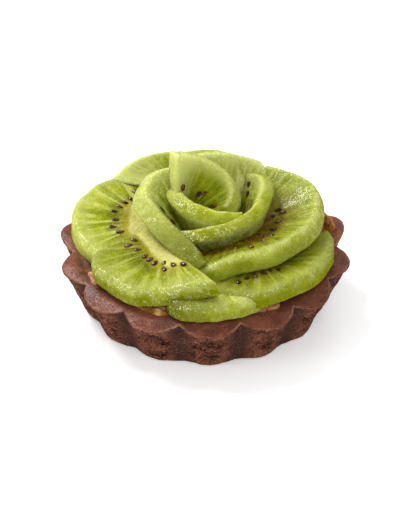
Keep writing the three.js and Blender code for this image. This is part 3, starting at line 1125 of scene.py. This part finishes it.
@dataclass
class Filling:
    """Baked cream, level with the shell and mounded under the rose, in millimetres."""

    wall_radius: float = 31.3
    floor_height: float = 4.1
    bank_height: float = 16.4
    mound_height: float = 21.0
    shoulder: float = 1.0
    lumps: Bumps = ((5.0, 0.5), (1.6, 0.16))
    columns: int = 180
    shoulder_steps: int = 5
    mound_steps: int = 30

    def outline(self) -> list[Vector]:
        """The section from the middle of the floor, up the wall and over the mound.

        Returns:
            The outline in the XZ plane.
        """
        wall = self.wall_radius
        points = [
            Vector((0, 0, self.floor_height)),
            Vector((wall - 4.2, 0, self.floor_height)),
            Vector((wall - 2.6, 0, self.floor_height + 1.8)),
            Vector((wall, 0, self.bank_height - self.shoulder)),
        ]
        for k in range(1, self.shoulder_steps + 1):
            angle = math.pi / 2 * k / self.shoulder_steps
            across, up = self.shoulder * (1 - math.cos(angle)), self.shoulder * math.sin(angle)
            points.append(Vector((wall - across, 0, self.bank_height - self.shoulder + up)))
        for k in range(1, self.mound_steps + 1):
            inwards = k / self.mound_steps
            swell = 0.5 - 0.5 * math.cos(math.pi * k / self.mound_steps)
            height = lerp(self.bank_height, self.mound_height, swell)
            points.append(Vector(((wall - self.shoulder) * (1 - inwards), 0, height)))
        return points

    def build(self, material: bpy.types.Material) -> bpy.types.Object:
        """Builds and dresses the cream.

        Args:
            material: The cream's finish.

        Returns:
            The piece.
        """
        outline = self.outline()

        def place(column: int, row: int) -> Spot:
            """Places a point of the grid.

            Args:
                column: Its column, round the cream.
                row: Its row, along the outline.

            Returns:
                The point, which carries nothing.
            """
            heading = 2 * math.pi * (column % self.columns) / self.columns
            return turned(outline[row], heading), []

        bm = Skin(self.columns, len(outline) - 1, True, ()).roll(place)
        lumpy_from = self.bank_height - 2 * self.shoulder

        def relief(vert: bmesh.types.BMVert) -> float:
            """The relief of lumps on top; the wall and the floor stay smooth.

            Args:
                vert: A vertex of the cream.

            Returns:
                The height, in millimetres.
            """
            return bumps(vert.co, self.lumps) if vert.co.z > lumpy_from else 0.0

        roughen(bm, relief)
        return dress(piece_from(bm, "cream_filling", material), ["filling"])


@dataclass(frozen=True)
class Smear:
    """A lump of cream on the rim: its heading in degrees and its measures in millimetres.

    `toast` is how far it is baked to caramel, `lift` how high over the rim it sits and `dry`
    how far it is dry and peach.
    """

    heading: float
    radius: float
    along: float
    across: float
    height: float
    toast: float = 0.0
    lift: float = 0.0
    dry: float = 0.0


@dataclass
class CreamSmears:
    """Cream that was pressed out between the fruit and the rim, in millimetres."""

    rim_height: float = 15.5
    lumps: Bumps = ((0.9, 0.3),)
    unevenness: float = 0.3
    smears: tuple[Smear, ...] = (
        Smear(-119, 32.2, 7.0, 2.4, 2.6),
        Smear(-112, 32.6, 7.0, 2.4, 2.2),
        Smear(-62, 32.6, 4.4, 1.8, 2.6, 0, 0, 0.3),
        Smear(-57, 33.2, 4.0, 1.9, 2.8, 0.3, 0, 0.35),
        Smear(-156, 33.0, 3.4, 1.7, 2.4, 0, 0, 0.8),
        Smear(-151.5, 33.7, 2.8, 1.6, 2.0, 0.3, 0, 0.7),
        Smear(12, 36.0, 3.0, 2.4, 4.4, 1.0, 1.0),
        Smear(16, 36.0, 3.6, 2.6, 5.4, 1.0, 1.4),
        Smear(20.5, 35.6, 3.4, 2.8, 4.6, 0.9, 1.0),
        Smear(25, 35.0, 3.0, 2.4, 3.4, 0.7),
        Smear(97, 33.6, 7.0, 3.0, 2.2),
    )

    def build(self, material: bpy.types.Material) -> bpy.types.Object:
        """Builds and dresses the smears.

        Args:
            material: The cream's finish.

        Returns:
            The piece.
        """
        bm = bmesh.new()
        toast = bm.verts.layers.float_vector.new("toast")
        for smear in self.smears:
            made = bmesh.ops.create_icosphere(bm, subdivisions=4, radius=1)["verts"]
            size = Vector((smear.across, smear.along, smear.height)) / 2
            for vert in made:
                swell = noise.noise(vert.co * 1.4 + Vector((smear.heading, 0, 0)))
                swell = 1 + self.unevenness * swell
                vert.co = Vector(a * b * swell for a, b in zip(vert.co, size))
                vert[toast] = Vector((smear.toast, smear.dry, 0))
            turn = Matrix.Rotation(math.radians(smear.heading), 4, "Z")
            lift = Matrix.Translation((smear.radius, 0, self.rim_height + smear.lift))
            bmesh.ops.transform(bm, matrix=turn @ lift, verts=made)
        roughen(bm, lambda vert: bumps(vert.co, self.lumps))
        return dress(piece_from(bm, "cream_smears", material), [])


# ---------------------------------------------------------------------------------------------
# Kiwi slices
# ---------------------------------------------------------------------------------------------


@dataclass(frozen=True)
class FlatRim:
    """The rim of an almost flat slice: an arc in a tilted plane.

    Angles are in degrees. `heading` says where the slice points, `rise` how far it tilts up
    there, `roll` how far it leans to its side, and `sweep` where the arc starts and ends. Past a
    half turn the chord closes it.
    """

    heading: float
    rise: float
    roll: float
    radius: float
    sweep: Pair
    arc_steps: int = 120
    chord_steps: int = 40

    @property
    def whole(self) -> bool:
        """Whether the slice runs right round the middle of the fruit."""
        return self.sweep[1] - self.sweep[0] > 180

    def axes(self) -> tuple[Vector, Vector]:
        """The slice's own directions.

        Returns:
            The direction along the chord and the one away from it.
        """
        heading, rise, roll = (math.radians(a) for a in (self.heading, self.rise, self.roll))
        outward = Vector((math.cos(heading), math.sin(heading), 0))
        level = Vector((math.sin(heading), -math.cos(heading), 0))
        outward.rotate(Matrix.Rotation(rise, 3, level))
        return Matrix.Rotation(-roll, 3, outward) @ level, outward

    def points(self, apex: Vector) -> list[Vector]:
        """Close points along the rim, and back along the chord if the slice is whole.

        Args:
            apex: The middle of the fruit.

        Returns:
            The points, anticlockwise round the upper face.
        """
        across, outward = self.axes()
        start, end = (math.radians(a) for a in self.sweep)
        angles = [lerp(start, end, k / self.arc_steps) for k in range(self.arc_steps + 1)]
        arc = [apex + (across * math.cos(a) + outward * math.sin(a)) * self.radius for a in angles]
        if self.whole:
            steps = self.chord_steps
            arc += [arc[-1].lerp(arc[0], k / steps) for k in range(1, steps + 1)]
        return arc


@dataclass(frozen=True)
class CurledRim:
    """The rim of a curled slice: a smooth curve through a few points."""

    through: tuple[Point, ...]
    whole: bool = False
    steps_per_span: int = 24

    def axes(self) -> tuple[Vector, Vector]:
        """The direction along the chord, and the one up."""
        chord = Vector(self.through[-1]) - Vector(self.through[0])
        return chord.normalized(), Vector((0, 0, 1))

    def points(self, apex: Vector) -> list[Vector]:
        """Close points along the rim.

        Args:
            apex: The middle of the fruit, which this rim doesn't need.

        Returns:
            The points, anticlockwise round the inner face.
        """
        return centripetal([Vector(point) for point in self.through], self.steps_per_span)


@dataclass
class Ray:
    """A straight line of flesh from the middle of the fruit to its rim.

    `normal` points out of the face, `turn` is the angle round the fruit in radians, and
    `shrink` says how far the flesh's outline is drawn in there.
    """

    direction: Vector
    reach: float
    normal: Vector
    turn: float
    shrink: float = 0.0


@dataclass
class KiwiSlice:
    """One cut slice, spanned by rays from its apex to its rim, with its seeds.

    Shape, in millimetres: `heart` is the share of each ray that is cut away near the apex.
    `corners` rounds the two corners seen from above, `crest` the upper edge, `edge` the lower
    edge and the two ends. The rim swells out by `bulge` and has knife marks of `facets` and
    `waves`. `core` is half the length of the pale core, and `core_out` its distance from the
    apex. `seeds` says where seeds show, as degrees along the rim and the share of the way to
    it. `seed_size` is half a seed's length, width and height, and `seed_sink` how deep its
    middle lies. `lumps`, `grain` and `ridges` are the relief.

    Colour: a pair has a value for each end of the slice. `tone` paints a sheen on the margin.
    `browning_and_shade` browns the seed bed, partly as a painted shade. `deepening` makes the flesh
    greener as far out as `deep_out`. `shade` paints shade on the ends over the share `shade_run` of
    the slice, and below 0 paints light. `wall_shade` does so on the rim, and `painted_glints` is
    how many glints are painted near the ends.
    """

    name: str
    apex: Point
    rim: Union[FlatRim, CurledRim]
    heart: float = 0.0
    thickness: float = 5.6
    corners: Pair = (0.0, 0.0)
    crest: float = 1.3
    edge: float = 1.05
    facets: float = 0.1
    bulge: float = 0.35
    core: float = 3.0
    core_out: float = 0.0
    seeds: tuple[Pair, ...] = ()
    tone: Pair = (0.0, 0.0)
    browning_and_shade: float = 0.0
    deepening: float = 0.0
    deep_out: Pair = (0.88, 0.88)
    shade: Pair = (0.0, 0.0)
    shade_run: float = 0.8
    wall_shade: float = 0.0
    painted_glints: Pair = (0.0, 0.0)
    lumps: Bumps = ((5.0, 0.3), (1.7, 0.1))
    grain: Bumps = ((0.75, 0.05),)
    ridges: float = 0.06
    ridge_count: float = 13.0
    ridge_run: float = 1.5
    waves: float = 0.2
    wave_count: float = 3.2
    facet_count: float = 4.5
    seed_size: Point = (1.2, 0.7, 0.48)
    seed_scale: Pair = (0.88, 1.1)
    seed_twist: float = 0.3
    seed_sink: float = 0.1
    rim_step: float = 0.6
    columns: int = 110
    face_rows: int = 34
    wall_rows: int = 9
    back_rows: int = 10
    end_steps: int = 4
    crest_steps: int = 7
    edge_steps: int = 4
    heart_steps: int = 4
    path: Path = field(init=False)

    def __post_init__(self) -> None:
        """Lays out the rim."""
        self.path = Path(self.rim.points(Vector(self.apex)))

    def turn_at(self, distance: float) -> float:
        """The angle round the fruit at a distance along the rim, in radians."""
        share = distance / self.path.length
        return 2 * math.pi * share if self.rim.whole else math.pi * share

    def ray_at(self, distance: float, shrink: float = 0.0) -> Ray:
        """The ray to a point of the rim.

        Args:
            distance: How far along the rim it is, in millimetres.
            shrink: How far the flesh's outline is drawn in there, for a rounded end.

        Returns:
            The ray.
        """
        length = self.path.length
        spots = [distance - self.rim_step, distance + self.rim_step]
        if self.rim.whole:
            spots = [spot % length for spot in spots]
        before, after = (self.path.at(spot) for spot in spots)
        across = self.path.at(distance) - Vector(self.apex)
        reach = across.length
        direction = across.normalized()
        normal = direction.cross(after - before).normalized()
        turn = self.turn_at(distance)
        wave = noise.noise(Vector((turn * self.wave_count, len(self.name), 2.0)))
        facet = abs(math.sin(turn * self.facet_count + len(self.name)))
        reach += self.waves * wave + self.facets * (facet - 0.6)
        for corner, gap in zip(self.corners, (distance, length - distance)):
            if gap < corner:
                reach -= corner - math.sqrt(corner**2 - (corner - gap) ** 2)
        return Ray(direction, reach, normal, turn, shrink)

    def rays(self) -> list[Ray]:
        """The rays of all columns, closer together at rounded ends.

        Returns:
            The rays, in order along the rim.
        """
        length = self.path.length
        if self.rim.whole:
            return [self.ray_at(length * k / self.columns) for k in range(self.columns)]
        steps = self.end_steps
        angles = [math.pi / 2 * k / steps for k in range(steps)]
        ends = [(self.edge * (1 - math.cos(a)), self.edge * (1 - math.sin(a))) for a in angles]
        span = length - 2 * self.edge
        middle = [(self.edge + span * k / self.columns, 0.0) for k in range(self.columns + 1)]
        last = [(length - along, shrink) for along, shrink in reversed(ends)]
        return [self.ray_at(along, shrink) for along, shrink in [*ends, *middle, *last]]

    def outline(self) -> list[tuple[float, float, float, float, float]]:
        """The flesh's outline in any ray's plane.

        Returns:
            For each point: the share of the way out from the inner edge and an offset, the
            share of the thickness and an offset, and whether it lies on the peeled rim.
        """
        edge, crest, rows = self.edge, self.crest, self.face_rows
        points = [(k / rows, -crest * k / rows, 0, 0, 0) for k in range(rows + 1)]
        for angle in quarter(self.crest_steps):
            down = 1 - math.cos(angle)
            points.append((1, crest * (math.sin(angle) - 1), 0, crest * down, down))
        for k in range(self.wall_rows + 1):
            share = k / self.wall_rows
            swell = self.bulge * math.sin(math.pi * share)
            points.append((1, swell, share, lerp(crest, -edge, share), 1))
        for angle in quarter(self.edge_steps):
            out, down = math.cos(angle), math.sin(angle)
            points.append((1, edge * (out - 1), 1, edge * (down - 1), out))
        for k in range(self.back_rows + 1):
            share = 1 - k / self.back_rows
            points.append((share, -edge * share, 1, 0, 0))
        points += [(0, 0, 1 - k / self.heart_steps, 0, 0) for k in range(1, self.heart_steps)]
        points.append(points[0])
        return points

    def facts(self, ray: Ray, share: float, cut: float, gap: float, depth: float) -> list[Vector]:
        """What the mesh carries at a point, for the flesh's finish.

        Args:
            ray: The ray that the point lies on.
            share: How far out it lies along the ray, 0 to 1.
            cut: How far it belongs to the rim or a cut end, 0 to 1.
            gap: Its distance to the pale core, in millimetres.
            depth: How deep it lies under the face, 0 to 1.

        Returns:
            Its `ray`, `zone`, `trait` and `mood`.
        """
        way = clamp(ray.turn / math.pi, 0, 1)
        end = ease(ray.turn, math.pi * 0.2, math.pi)
        run = math.pi * self.shade_run
        near, far = ease(ray.turn, run, 0), ease(ray.turn, math.pi - run, math.pi)
        # `shade` is painted shade on the ends and the rim, and painted light below 0;
        # `painted_glints` is how many glints are painted.
        shade = self.shade[0] * near + self.shade[1] * far + self.wall_shade * cut
        painted_glints = self.painted_glints[0] * ease(ray.turn, math.pi * 0.6, 0) + self.painted_glints[1] * end
        return [
            Vector((math.cos(ray.turn), math.sin(ray.turn), share)),
            Vector((cut, gap / CORE_UNIT_MM, depth)),
            Vector((lerp(*self.tone, way), self.browning_and_shade * (1 - 0.6 * end), shade)),
            Vector((self.deepening, lerp(*self.deep_out, way), painted_glints)),
        ]

    def flesh(self) -> bmesh.types.BMesh:
        """The slice's body.

        Returns:
            The mesh, in millimetres.
        """
        rays, outline = self.rays(), self.outline()
        columns = len(rays) if self.rim.whole else len(rays) - 1
        apex = Vector(self.apex)
        chord = self.rim.axes()[0]
        middle = self.ray_at(self.path.length * (0.4 if self.rim.whole else 0.5)).direction
        outward = (middle - chord * chord.dot(middle)).normalized()
        core = apex + outward * self.core_out

        def place(column: int, row: int) -> Spot:
            """Places a point of the grid.

            Args:
                column: Its column, along the rim.
                row: Its row, along the outline.

            Returns:
                The point with its facts.
            """
            ray = rays[column % len(rays)]
            out, out_by, down, down_by, wall = outline[row]
            inner = self.heart * ray.reach
            distance = lerp(inner, ray.reach, out) + out_by
            depth = down * self.thickness + down_by
            distance = clamp(distance, inner + ray.shrink, ray.reach - ray.shrink)
            depth = clamp(depth, ray.shrink, self.thickness - ray.shrink)
            point = apex + ray.direction * distance - ray.normal * depth
            cut = max(wall, ray.shrink / self.edge)
            spoke = apex + ray.direction * distance - core
            gap = (spoke - chord * clamp(chord.dot(spoke), -self.core, self.core)).length
            return point, self.facts(ray, distance / ray.reach, cut, gap, depth / self.thickness)

        layers = ("ray", "zone", "trait", "mood")
        bm = Skin(columns, len(outline) - 1, self.rim.whole, layers).roll(place)
        ray_layer = bm.verts.layers.float_vector["ray"]
        zone_layer = bm.verts.layers.float_vector["zone"]

        def relief(vert: bmesh.types.BMVert) -> float:
            """The relief of lumps, and of fibres on the cut face.

            Args:
                vert: A vertex of the flesh.

            Returns:
                The height, in millimetres.
            """
            across, along, share = vert[ray_layer]
            wall, _, _ = vert[zone_layer]
            count, run = self.ridge_count, self.ridge_run
            fibres = noise.noise(Vector((across * count, along * count, share * run)))
            ridge = self.ridges * fibres * ease(share, 0.2, 0.5) * (1 - wall)
            return bumps(vert.co, self.lumps) + ridge + bumps(vert.co, self.grain)

        roughen(bm, relief)
        return bm

    def pips(self) -> bmesh.types.BMesh:
        """The slice's seeds: small drops that lie along their rays, pointed end inwards.

        Returns:
            The mesh, in millimetres.
        """
        bm = bmesh.new()
        draw = random.Random(self.name)
        length, width, height = self.seed_size
        for degrees, share in self.seeds:
            ray = self.ray_at(self.distance_of(degrees))
            side = ray.normal.cross(ray.direction).normalized()
            normal = ray.direction.cross(side)
            scale = draw.uniform(*self.seed_scale)
            made = bmesh.ops.create_uvsphere(bm, u_segments=9, v_segments=7, radius=1)
            for vert in made["verts"]:
                x, y, z = vert.co
                taper = 1 + 0.28 * z
                vert.co = Vector((z * length, x * width * taper, y * height * taper)) * scale
            centre = Vector(self.apex) + ray.direction * share * ray.reach
            centre -= normal * self.seed_sink
            twist = Matrix.Rotation(draw.uniform(-self.seed_twist, self.seed_twist), 3, normal)
            axes = Matrix((twist @ ray.direction, twist @ side, normal)).transposed().to_4x4()
            bmesh.ops.transform(bm, matrix=Matrix.Translation(centre) @ axes, verts=made["verts"])
        bmesh.ops.recalc_face_normals(bm, faces=bm.faces)
        return bm

    def distance_of(self, degrees: float) -> float:
        """How far along the rim a seed lies.

        Args:
            degrees: Its angle round the fruit. The arc counts as 180 degrees.

        Returns:
            The distance, in millimetres.
        """
        length = self.path.length
        if self.rim.whole:
            start, end = self.rim.sweep
            length = self.rim.radius * math.radians(end - start)
        return degrees / 180 * length

    def build(self, flesh: bpy.types.Material, seed: bpy.types.Material) -> list[bpy.types.Object]:
        """Builds and dresses the slice and its seeds.

        Args:
            flesh: The flesh's finish.
            seed: The seeds' finish.

        Returns:
            The pieces.
        """
        body = piece_from(self.flesh(), f"{self.name}_flesh", flesh)
        pieces = [dress(body, [self.name])]
        if self.seeds:
            pips = piece_from(self.pips(), f"{self.name}_seeds", seed)
            pieces.append(dress(pips, [self.name]))
        return pieces


@dataclass
class Rose:
    """The rose of kiwi slices, from the low outer ring to the heart."""

    slices: tuple[KiwiSlice, ...] = (
        KiwiSlice(
            "kiwi_left", (-14.8, 7.7, 19.8), FlatRim(177, 6, 5, 21.8, (-14, 194)),
            crest=2.2, facets=0.3, core=5, core_out=3.4,
            seeds=(
                (33, 0.6), (43, 0.47), (54.5, 0.46), (67.5, 0.46), (80.5, 0.48), (98, 0.45),
                (112, 0.51), (124.5, 0.47),
            ),
            shade=(0.02, 0.02), wall_shade=-0.25,
        ),
        KiwiSlice(
            "kiwi_front", (0, -13.2, 19.6), FlatRim(-92, 4, -1, 22.4, (57, 142)),
            heart=0.75, thickness=5.1, corners=(8, 5), crest=2.4, shade=(1.25, -0.12),
            painted_glints=(0.3, 0.3),
        ),
        KiwiSlice("kiwi_low_back_right", (7, 12, 18.8), FlatRim(58, 8, 0, 22.4, (0, 180))),
        KiwiSlice("kiwi_low_back_left", (-7, 12.5, 18.6), FlatRim(115, 8, 0, 22.4, (0, 180))),
        KiwiSlice(
            "kiwi_front_left", (-10.5, -9, 23),
            CurledRim((
                (-15.5, 1, 23.2), (-24, -6.6, 22.8), (-30.2, -11.6, 22), (-29.3, -18.8, 21.8),
                (-25.1, -24.1, 21.6), (-19.1, -29.4, 21.8), (-12, -30.6, 22.4), (-4.4, -31.9, 24.6),
                (3, -32.1, 26.8),
            )),
            thickness=5, crest=2.2, facets=0.3, core=9, core_out=2.4,
            seeds=(
                (28, 0.68), (44.5, 0.57), (63.5, 0.37), (91, 0.35), (106, 0.35), (121, 0.39),
                (139, 0.39), (139.5, 0.53), (154.5, 0.46), (169, 0.49),
            ),
            shade=(0.85, 0.3), wall_shade=0.26, painted_glints=(0.3, 0.4),
        ),
        KiwiSlice(
            "kiwi_right", (14, -12, 20),
            CurledRim((
                (-1, -27.5, 21.2), (11.4, -31, 22), (21.6, -27.4, 22.8), (29.2, -20.6, 22.4),
                (33.6, -12, 21.8), (35, -4.4, 21.4), (34.2, 1.4, 21.4),
            )),
            heart=0.15, thickness=5, crest=2.2,
            seeds=((24.5, 0.66), (32, 0.52), (45, 0.48), (61.5, 0.46), (72, 0.45), (87, 0.5)),
            browning_and_shade=0.3, deepening=0.35, deep_out=(0.82, 0.82), shade=(0.65, 0.65),
        ),
        KiwiSlice(
            "kiwi_right_upper", (9, 1.5, 20.5),
            CurledRim((
                (-4.6, -21, 23.2), (-0.6, -22.4, 24.4), (6.9, -20.3, 26.3), (17.9, -17.1, 27.7),
                (27.8, -6.9, 28), (31.2, 3.4, 28.8), (28.8, 13.4, 30.2), (17, 19, 31.6),
            )),
            heart=0.15, crest=2.3, facets=0.25,
            seeds=(
                (10.5, 0.56), (22, 0.54), (33, 0.67), (43, 0.46), (53.5, 0.43), (68, 0.36),
                (70.5, 0.42), (47.5, 0.75), (62, 0.68), (72, 0.57), (74.5, 0.64), (89, 0.54),
                (122, 0.36), (126, 0.41), (107, 0.52), (133, 0.5), (124.5, 0.55),
            ),
            browning_and_shade=1.0, deepening=0.9, deep_out=(0.9, 0.97), shade=(0.1, -0.12), wall_shade=-0.12,
            painted_glints=(0, 0.9),
        ),
        KiwiSlice(
            "petal_left", (-1, -1.5, 14),
            CurledRim((
                (-7.4, 12.4, 34.6), (-13.8, 9, 34.4), (-15.6, 3.6, 32.2), (-9.5, -7.2, 29.5),
                (-2, -16.6, 27), (1, -21.8, 25.2),
            )),
            heart=0.36, seeds=((57, 0.72), (54, 0.52)), tone=(0.6, 0.15), shade=(0, 1.1),
            painted_glints=(1, 0.1),
        ),
        KiwiSlice(
            "petal_right", (8, 2.5, 11),
            CurledRim((
                (-7.8, -7.4, 26.2), (-1, -9.4, 28.8), (5.6, -8.2, 30), (12.4, -2.6, 30.8),
                (15.2, 6, 31.5), (15, 12.4, 31.5), (11.5, 16, 30),
            )),
            heart=0.42, thickness=4.1, seeds=((172, 0.86), (170, 0.75)), shade=(0.4, 0),
            wall_shade=-0.1, painted_glints=(1, 0.1),
        ),
        KiwiSlice(
            "petal_centre", (2, 6, 11),
            CurledRim((
                (-7.4, 9.6, 31.2), (-5.6, 4.4, 31.2), (-3.4, 0.6, 31.2), (-0.6, -2, 31.3),
                (3, -4.4, 31.3), (7, -4.6, 31), (10.4, -3.6, 30.4),
            )),
            heart=0.42, thickness=4.8, shade=(-0.45, 0), shade_run=0.45, painted_glints=(0.45, 0),
        ),
        KiwiSlice(
            "petal_centre_back", (-8, 3, 21),
            CurledRim((
                (5.9, 1.5, 28.3), (8, 5.4, 31), (6.9, 8.4, 33.3), (1.7, 9.4, 37.2),
                (-2.8, 8.6, 39.4), (-7.3, 6.6, 41.2),
            )),
            heart=0.3, seeds=((154.5, 0.55), (93, 0.53), (78, 0.59), (26, 0.65)), tone=(0.25, 0.65),
            deepening=0.85, deep_out=(0.97, 0.72), shade=(0, -0.7), shade_run=0.4, wall_shade=0.12,
            painted_glints=(0.35, 0),
        ),
        KiwiSlice(
            "petal_behind", (4, 6, 18),
            CurledRim((
                (8.8, 12, 28), (9.6, 15.6, 32), (9.4, 17.1, 34.9), (4.2, 16.3, 36.5),
                (-3, 15, 36.5),
            )),
            heart=0.4, tone=(0.6, 0.6), shade=(-0.5, -0.5), wall_shade=0.2, painted_glints=(0.9, 0.6),
        ),
        KiwiSlice(
            "petal_behind_right", (7, 7, 17),
            CurledRim((
                (19, 14.5, 28), (15.9, 17.6, 32.2), (12.5, 19, 33.3), (6, 19.8, 33.8),
                (0, 19.5, 33.8),
            )),
            heart=0.4, seeds=((76.5, 0.63), (46, 0.55)), tone=(0.5, 0.5), shade=(-0.35, -0.35),
            wall_shade=0.2, painted_glints=(0.9, 0.8),
        ),
        KiwiSlice(
            "petal_back", (0, 5, 19),
            CurledRim((
                (13, 20, 28.6), (7.5, 22.6, 32.3), (0.6, 22.9, 33.8), (-6.5, 21.8, 33.4),
            )),
            heart=0.35, shade=(0, 0.2), painted_glints=(0.5, 0.2),
        ),
        KiwiSlice(
            "petal_back_left", (-6, 17, 24),
            CurledRim((
                (-4, 28, 30), (-10.3, 28, 30), (-16.8, 27.8, 28.8), (-21, 26.8, 26.8),
                (-24.5, 26, 24), (-27, 24.5, 21.6),
            )),
            heart=0.3, deepening=0.7, shade=(0, -0.7), wall_shade=0.5, painted_glints=(0, 0.3),
        ),
    )

    def build(self, flesh: bpy.types.Material, seed: bpy.types.Material) -> list[bpy.types.Object]:
        """Builds and dresses every slice.

        Args:
            flesh: The flesh's finish.
            seed: The seeds' finish.

        Returns:
            The pieces.
        """
        return [piece for part in self.slices for piece in part.build(flesh, seed)]


# ---------------------------------------------------------------------------------------------
# Studio
# ---------------------------------------------------------------------------------------------


@dataclass(frozen=True)
class SoftLight:
    """A round studio light, in metres, aimed at the tart; `glints` lets gloss show it."""

    name: str
    place: Point
    width: float
    power: float
    glints: bool = True

    def build(self, target: Vector) -> None:
        """Adds the light.

        Args:
            target: What it is aimed at.
        """
        data = bpy.data.lights.new(self.name, "AREA")
        data.shape = "DISK"
        data.size = self.width
        data.energy = self.power
        lamp = bpy.data.objects.new(self.name, data)
        lamp.location = self.place
        lamp.visible_glossy = self.glints
        lamp.rotation_euler = (target - Vector(self.place)).to_track_quat("-Z", "Y").to_euler()
        bpy.context.scene.collection.objects.link(lamp)


@dataclass
class Studio:
    """A pale floor, soft lights and the camera, in metres unless a name says otherwise."""

    target: Point = (0.0, 0.0, 0.0156)
    distance: float = 0.6
    elevation_deg: float = 34.0
    focal_mm: float = 155.2
    aim_right: float = -0.00123
    aim_up: float = -0.00153
    sky: float = 0.6
    floor_size: float = 6.0
    lights: tuple[SoftLight, ...] = (
        SoftLight("key", (-0.5, 0.5, 0.8), 0.5, 9.0),
        SoftLight("back", (0.15, 1.0, 0.6), 0.8, 2.2, False),
        SoftLight("window", (0.3, 1.0, 0.72), 0.5, 0.9),
        SoftLight("front", (0.3, -0.9, 0.9), 0.9, 4.8, False),
        SoftLight("left", (-0.9, -0.35, 0.35), 0.4, 2.6, False),
    )

    def build(self) -> None:
        """Builds the floor, the sky, the lights and the camera."""
        bm = bmesh.new()
        bmesh.ops.create_grid(bm, x_segments=1, y_segments=1, size=self.floor_size / 2 / MM)
        floor = piece_from(bm, "studio_floor", FloorPaint().material())
        floor.visible_glossy = False
        world = bpy.data.worlds.new("soft_sky")
        world.use_nodes = True
        background = world.node_tree.nodes["Background"]
        background.inputs["Color"].default_value = (1, 1, 1, 1)
        background.inputs["Strength"].default_value = self.sky
        world.cycles_visibility.glossy = False
        bpy.context.scene.world = world
        for light in self.lights:
            light.build(Vector(self.target))
        self.add_camera()
        bpy.context.scene.view_settings.view_transform = "Standard"

    def add_camera(self) -> None:
        """Adds the camera, looking along +Y and down."""
        tilt = math.radians(self.elevation_deg)
        back = Vector((0, -math.cos(tilt), math.sin(tilt)))
        up = Vector((0, math.sin(tilt), math.cos(tilt)))
        data = bpy.data.cameras.new("camera")
        data.lens = self.focal_mm
        camera = bpy.data.objects.new("camera", data)
        shift = Vector((self.aim_right, 0, 0)) + up * self.aim_up
        camera.location = Vector(self.target) + back * self.distance + shift
        camera.rotation_euler = (math.pi / 2 - tilt, 0, 0)
        bpy.context.scene.collection.objects.link(camera)
        bpy.context.scene.camera = camera


def main() -> None:
    """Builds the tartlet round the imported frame."""
    logging.basicConfig(level=logging.INFO, format="%(name)s: %(message)s")
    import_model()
    Shell().build(Crust().material())
    cream = BakedCream().material()
    Filling().build(cream)
    CreamSmears().build(cream)
    pieces = Rose().build(KiwiFlesh().material(), KiwiSeed().material())
    log.info("rose: %d pieces", len(pieces))
    Studio().build()


if __name__ == "__main__":
    main()
